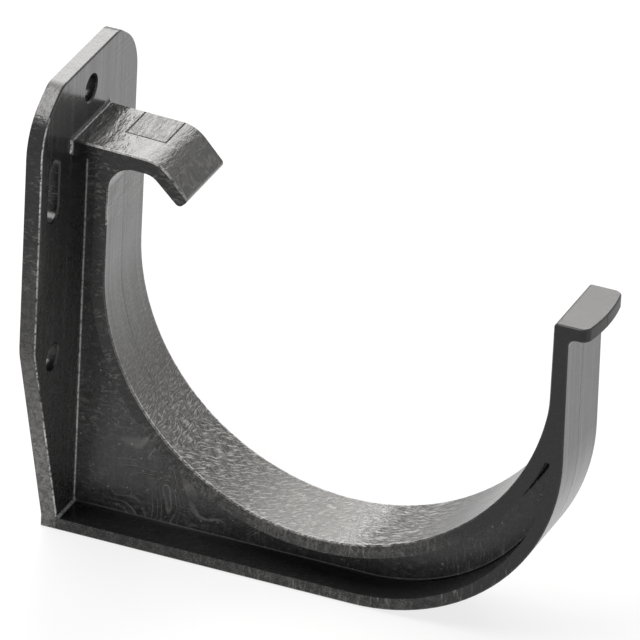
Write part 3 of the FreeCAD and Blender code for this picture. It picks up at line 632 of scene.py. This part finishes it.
def makePlastic():
    material = bpy.data.materials.new("blackMoulding")
    material.use_nodes = True
    tree = material.node_tree
    shader = tree.nodes["Principled BSDF"]
    shader.inputs["IOR"].default_value = plasticLook["ior"]
    shader.inputs["Coat Roughness"].default_value = plasticLook["coatRoughness"]
    skin, drawn, edgeHighlights, insert, cutter, flow = (
        addNode(tree, "ShaderNodeGroup", {"node_tree": makeGroup()}).outputs
        for makeGroup in (makeSkinGroup, makeDrawLineGroup, makeEdgeHighlightGroup, makeInsertGroup, makeTickGroup,
                          makeFlowGroup))
    fibres = addNode(tree, "ShaderNodeGroup", {"node_tree": makeFibreGroup()}, {"Skin": skin["Skin"]}).outputs
    place = objectPlace(tree)
    zones = findZones(tree, place, skin["Side"])
    seat, side, web, armSkin = (zones[name] for name in ("seat", "side", "web", "armSkin"))

    grain = noiseNode(tree, place, plasticLook["grain"], detail=2.0, roughness=0.65)
    coarse = noiseNode(tree, place, plasticLook["coarse"], detail=3.0, roughness=0.6)
    cloud, lines = fibres["Cloud"], drawn["Lines"]
    noises = {"grain": grain, "coarse": coarse, "cloud": cloud, "lines": lines,
              "speckle": product(tree, addUp(tree, grain, coarse), 0.5)}
    look = plasticLook["mottle"]
    mottle = stretchedNoise(tree, skin["Skin"], look["scale"], look["turn"], detail=3.0, roughness=0.65,
                            distortion=0.4)
    armMottle = product(tree, mottle, armSkin)
    look = plasticLook["combed"]
    combed = stretchedNoise(tree, skin["Skin"], look["scale"], look["turn"], detail=2.0, roughness=0.6,
                            distortion=0.5)
    streaks = product(tree, mapRange(tree, combed, look["crisp"]), insert["Inside"])

    #     how silvery each spot is: the strokes, and a tone that differs from zone to zone, with painted light
    #         and painted reflections of the floor on some zones
    look = plasticLook["strokes"]
    strokes = mixNode(tree, "FLOAT", zones["clear"], look["blurred"], fibres["Strokes"])
    strokes = product(tree, strokes, zones["skinSide"])
    amount = addUp(tree, product(tree, seat, look["seat"]), product(tree, armSkin, look["armSkin"]),
                   look["elsewhere"])
    hazeAndPaintedLight = [product(tree, zones[zone], share) for zone, share in plasticLook["evenPaintedLight"]]
    for zone, noise, span, give in plasticLook["hazeAndPaintedLight"]:
        hazeAndPaintedLight.append(product(tree, zones[zone], mapRange(tree, noises[noise], span, give)))
    silver = mathNode(tree, "ADD", product(tree, strokes, amount), addUp(tree, *hazeAndPaintedLight), clamp=True)

    # colour, one layer over the other
    look = plasticLook["webCloud"]
    webCloud = product(tree, web, mapRange(tree, cloud, look["span"], look["share"]))
    look = plasticLook["paintedLightByPlate"]
    onWeb = addUp(tree, product(tree, flow["Dashes"], plasticLook["dashes"]),
                  product(tree, flow["Swirls"], plasticLook["swirls"]),
                  # painted light on the web, stronger towards the plate
                  mapRange(tree, zones["x"], look["x"], look["share"]))
    flowMarksAndPaintedLight = addUp(tree, product(tree, onWeb, web),
                  product(tree, flow["Ticks"], side, plasticLook["flowTicks"]))
    tickLight = product(tree, cutter["Ticks"], side)
    tickLight = mathNode(tree, "MULTIPLY", tickLight, plasticLook["cutterTicks"], clamp=True)
    # painted glints on the web
    look = plasticLook["paintedWebGlints"]
    paintedGlints = noiseNode(tree, place, look["scale"], detail=1.0)
    paintedGlints = product(tree, mapRange(tree, paintedGlints, look["span"], look["share"]), web)
    # painted shade in the insert's groove and along the seam line
    dark = largest(tree, insert["Groove"], product(tree, drawn["Seam"], plasticLook["seam"]))
    layers = (
        # painted shade on the bare side faces
        (zones["bareSide"], "paintedSideShade"), (silver, "silver"), (webCloud, "cool"), (flowMarksAndPaintedLight, "silver"),
        (tickLight, "silver"), (paintedGlints, "silver"),
        # painted edge highlights, in pale colour
        (product(tree, edgeHighlights["Edge"], plasticLook["edges"]), "edgeHighlightColour"), (dark, "shadow"),
    )
    colour = plasticLook["deep"]
    for share, paint in layers:
        colour = mixNode(tree, "RGBA", share, colour, plasticLook[paint])

    # roughness
    look = plasticLook["roughness"]
    roughness = addUp(tree, look["even"], product(tree, silver, look["silver"]),
                      product(tree, minus(tree, cloud, 0.5), look["cloud"]))
    dulled = dict(zones, dark=dark, insert=insert["Inside"], streaks=streaks, armMottle=armMottle,
                  edges=edgeHighlights["Edge"])
    for zone, more in plasticLook["dulled"]:
        roughness = mathNode(tree, "ADD", roughness, product(tree, dulled[zone], more), clamp=True)

    # relief, all in one bump whose distance is a millimetre
    reliefs = {
        "cloud": cloud,
        "coarse": coarse,
        "strokes": product(tree, strokes, addUp(tree, seat, plasticLook["reliefOffSeat"])),
        "armMottle": armMottle,
        "streaks": streaks,
        "rimGrain": product(tree, coarse, zones["rim"]),
        "sideGrain": product(tree, coarse, side),
        "flow": product(tree, addUp(tree, flow["Dashes"], flow["Swirls"]), web),
        "lines": lines,
        "groove": insert["Groove"],
        "ticks": cutter["Ticks"],
    }
    height = 0.0
    for name, millimetres in plasticLook["relief"]:
        height = mathNode(tree, "MULTIPLY_ADD", reliefs[name], millimetres, height)
    bump = addNode(tree, "ShaderNodeBump", None, {"Height": height, "Strength": 1.0, "Distance": 0.001})

    look = plasticLook["coat"]
    coat = product(tree, zones["polished"], mapRange(tree, lines, look["lines"], look["weight"]),
                   mapRange(tree, zones["x"], look["x"], look["farOut"]))
    linkInto(tree, shader, {"Base Color": colour, "Roughness": roughness, "Coat Weight": coat,
                            "Normal": bump.outputs[0]})
    return material


floorLook = {"size": 9.0, "height": -0.0002, "colour": (0.93, 0.93, 0.93, 1.0), "glowShare": 0.8}
worldLook = {"fill": 0.22, "fillColour": (0.93, 0.96, 1.0, 1.0)}
white = (1.0, 1.0, 1.0, 1.0)


def seenOrMirrored(tree):
    rays = addNode(tree, "ShaderNodeLightPath").outputs
    mirrored = addUp(tree, rays["Is Glossy Ray"], rays["Is Transmission Ray"])
    return mathNode(tree, "ADD", rays["Is Camera Ray"], mirrored, clamp=True)


# Mostly plain white to the camera and in what the plastic mirrors, and lit like a real floor otherwise
def makeFloor():
    deselectAll()
    bpy.ops.mesh.primitive_plane_add(size=floorLook["size"], location=(0, 0, floorLook["height"]))
    floor = bpy.context.object
    floor.name = "floor"
    material = bpy.data.materials.new("paleFloor")
    material.use_nodes = True
    tree = material.node_tree
    tree.nodes.remove(tree.nodes["Principled BSDF"])
    diffuse = addNode(tree, "ShaderNodeBsdfDiffuse", None, {"Color": floorLook["colour"]})
    glow = addNode(tree, "ShaderNodeEmission", None, {"Color": white, "Strength": 1.0})
    share = product(tree, seenOrMirrored(tree), floorLook["glowShare"])
    mix = addNode(tree, "ShaderNodeMixShader", None, {0: share, 1: diffuse.outputs[0], 2: glow.outputs[0]})
    linkInto(tree, tree.nodes["Material Output"], {"Surface": mix.outputs[0]})
    floor.data.materials.append(material)


def makeWorld():
    world = bpy.context.scene.world or bpy.data.worlds.new("studio")
    bpy.context.scene.world = world
    world.use_nodes = True
    tree = world.node_tree
    seen = seenOrMirrored(tree)
    colour = mixNode(tree, "RGBA", seen, worldLook["fillColour"], white)
    strength = mapRange(tree, seen, (0.0, 1.0), (worldLook["fill"], 1.0))
    linkInto(tree, tree.nodes["Background"], {"Color": colour, "Strength": strength})


# One long softbox that curves from low behind the bracket to overhead, its width along X
lampLook = {
    "behind": {"towards": (-0.21, 0.833, 0.511), "size": (0.94, 0.62), "radiance": 6.6},
    "above": {"towards": (-0.31, 0.475, 0.823), "size": (0.40, 0.86), "radiance": 6.6},
    "overhead": {"towards": (-0.32, -0.20, 0.926), "size": (0.32, 1.20), "radiance": 16.0},
}
lampColour = (1.0, 0.99, 0.975)
lampDistance = 1.5
lampAim = (0.06, 0.0, 0.07)


def makeLamps():
    for name, look in lampLook.items():
        light = bpy.data.lights.new(name, "AREA")
        light.shape = "RECTANGLE"
        light.size, light.size_y = look["size"]
        light.energy = look["radiance"] * math.pi * light.size * light.size_y
        light.color = lampColour
        lamp = bpy.data.objects.new(name, light)
        bpy.context.scene.collection.objects.link(lamp)
        towards = Vector(look["towards"]).normalized()
        across = (Vector((1, 0, 0)) - towards * towards.x).normalized()
        turn = Matrix((across, towards.cross(across), towards)).transposed()
        lamp.matrix_world = Matrix.Translation(Vector(lampAim) + towards * lampDistance) @ turn.to_4x4()
        lamp.visible_camera = False


# The camera stands where the photo's fitted view puts it, with a long lens
cameraView = {
    "azimuth": 21.70,
    "elevation": 28.69,
    "roll": 2.92,
    "distance": 2.582,
    "aim": (0.06387, 0.0, 0.06651),
    "lens": 626.05,                     # millimetres, on the sensor below
    "sensor": 36.0,
}


def makeCamera():
    data = bpy.data.cameras.new("photoView")
    data.lens = cameraView["lens"]
    data.sensor_width = cameraView["sensor"]
    camera = bpy.data.objects.new("photoView", data)
    bpy.context.scene.collection.objects.link(camera)
    turn = (Matrix.Rotation(math.radians(cameraView["azimuth"]), 4, "Z")
            @ Matrix.Rotation(math.radians(90.0 - cameraView["elevation"]), 4, "X")
            @ Matrix.Rotation(math.radians(cameraView["roll"]), 4, "Z"))
    back = turn.col[2].to_3d()
    place = Vector(cameraView["aim"]) + back * cameraView["distance"]
    camera.matrix_world = Matrix.Translation(place) @ turn
    bpy.context.scene.camera = camera


bpy.context.scene.view_settings.view_transform = "Standard"
makeCamera()
makeWorld()
makeLamps()
makeFloor()
print("stage: camera, lamps and floor")

plastic = makePlastic()
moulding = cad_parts["gutter_bracket"]
moulding.data.materials.clear()
moulding.data.materials.append(plastic)
print("stage: moulding")
